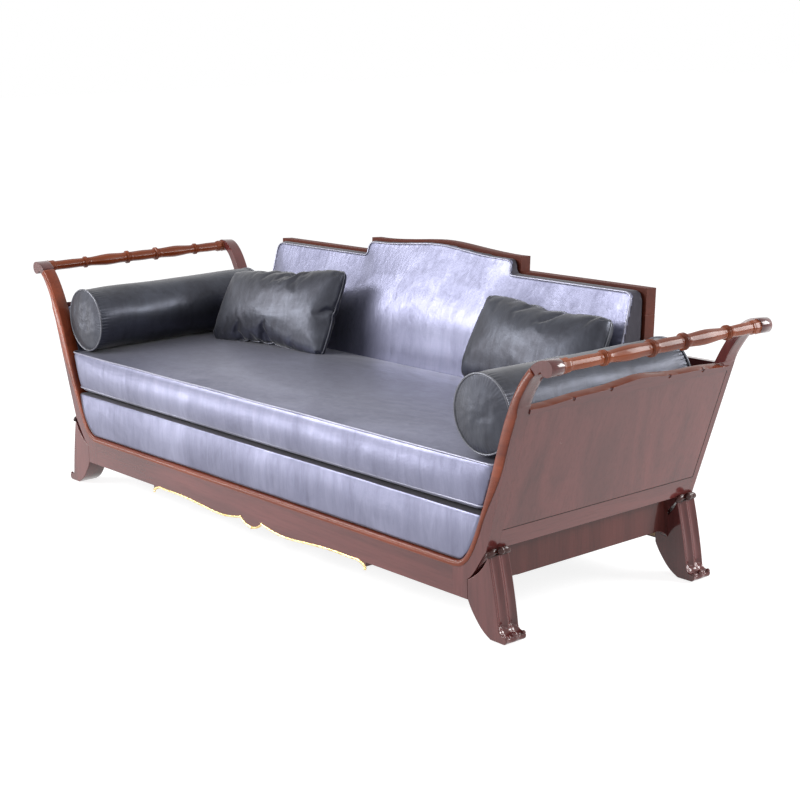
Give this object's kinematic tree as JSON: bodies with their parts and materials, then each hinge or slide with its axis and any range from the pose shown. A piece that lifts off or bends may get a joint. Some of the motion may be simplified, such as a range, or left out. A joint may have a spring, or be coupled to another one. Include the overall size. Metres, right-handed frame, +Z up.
{
  "type": "recamier",
  "caption": "Boat-shaped upholstered recamier with equal swept ends, turned hand rails, arched back, loose seat cushion, bolsters and scatter pillows.",
  "frame": {"origin": "on the floor, at the middle of the outline in plan", "axes": "+X towards the sitter's left, +Y towards the back, +Z up"},
  "size_m": [2.328, 0.7534, 0.7761],
  "materials": {
    "mahogany": "polished reddish mahogany",
    "frame_wood": "planed beech, unseen inside the upholstery",
    "silver_satin": "silver-blue satin",
    "grey_satin": "dark grey satin",
    "piping": "satin piping",
    "filling": "feather and fibre filling",
    "gilding": "pale gold leaf over carved wood",
    "webbing": "woven jute",
    "calico": "black calico",
    "steel": "drawn wire and plated screws",
    "glide": "dark nylon"
  },
  "bodies": {
    "frame": {"back_crest": "mahogany", "back_middle_rail": "frame_wood", "back_pad_border": "grey_satin", "back_pad_face": "silver_satin", "back_pad_piping": "piping", "back_panel": "grey_satin", "back_stile_left": "mahogany", "back_stile_right": "mahogany", "back_webbing": "webbing", "block_screws": "steel", "corner_blocks": "frame_wood", "dust_cover": "calico", "end_apron_left": "mahogany", "end_apron_right": "mahogany", "end_cap_left": "mahogany", "end_cap_right": "mahogany", "end_lining_left": "silver_satin", "end_lining_right": "silver_satin", "end_panel_left": "mahogany", "end_panel_right": "mahogany", "end_rail_left": "mahogany", "end_rail_right": "mahogany", "foot_glides": "glide", "front_apron": "mahogany", "front_leg_left": "mahogany", "front_leg_right": "mahogany", "front_moulding": "mahogany", "front_post_left": "mahogany", "front_post_right": "mahogany", "gilt_fillet": "gilding", "hand_rail_left": "mahogany", "hand_rail_right": "mahogany", "leg_capitals": "mahogany", "platform_pad": "silver_satin", "rear_apron": "mahogany", "rear_board": "mahogany", "rear_leg_left": "mahogany", "rear_leg_right": "mahogany", "rear_post_left": "mahogany", "rear_post_right": "mahogany", "seat_rail_front": "frame_wood", "seat_rail_left": "frame_wood", "seat_rail_rear": "frame_wood", "seat_rail_right": "frame_wood", "seat_springs": "steel", "seat_webbing": "webbing", "spring_cover": "calico"},
    "seat_cushion": {"seat_cushion_cover": "silver_satin", "seat_cushion_core": "filling", "seat_cushion_piping": "piping"},
    "bolster_left": {"bolster_cover_left": "grey_satin", "bolster_core_left": "filling", "bolster_piping_left": "piping"},
    "pillow_left": {"pillow_cover_left": "grey_satin", "pillow_core_left": "filling"},
    "bolster_right": {"bolster_cover_right": "grey_satin", "bolster_core_right": "filling", "bolster_piping_right": "piping"},
    "pillow_right": {"pillow_cover_right": "grey_satin", "pillow_core_right": "filling"}
  },
  "joints": [
    {"name": "seat_cushion_lift", "type": "slide", "parent": "frame", "child": "seat_cushion", "axis": [0, 0, 1], "range_m": [0, 0.5]},
    {"name": "bolster_left_lift", "type": "slide", "parent": "seat_cushion", "child": "bolster_left", "axis": [0, 0, 1], "range_m": [0, 0.4]},
    {"name": "bolster_right_lift", "type": "slide", "parent": "seat_cushion", "child": "bolster_right", "axis": [0, 0, 1], "range_m": [0, 0.4]},
    {"name": "pillow_left_lift", "type": "slide", "parent": "seat_cushion", "child": "pillow_left", "axis": [0, 0, 1], "range_m": [0, 0.4]},
    {"name": "pillow_right_lift", "type": "slide", "parent": "seat_cushion", "child": "pillow_right", "axis": [0, 0, 1], "range_m": [0, 0.4]}
  ]
}
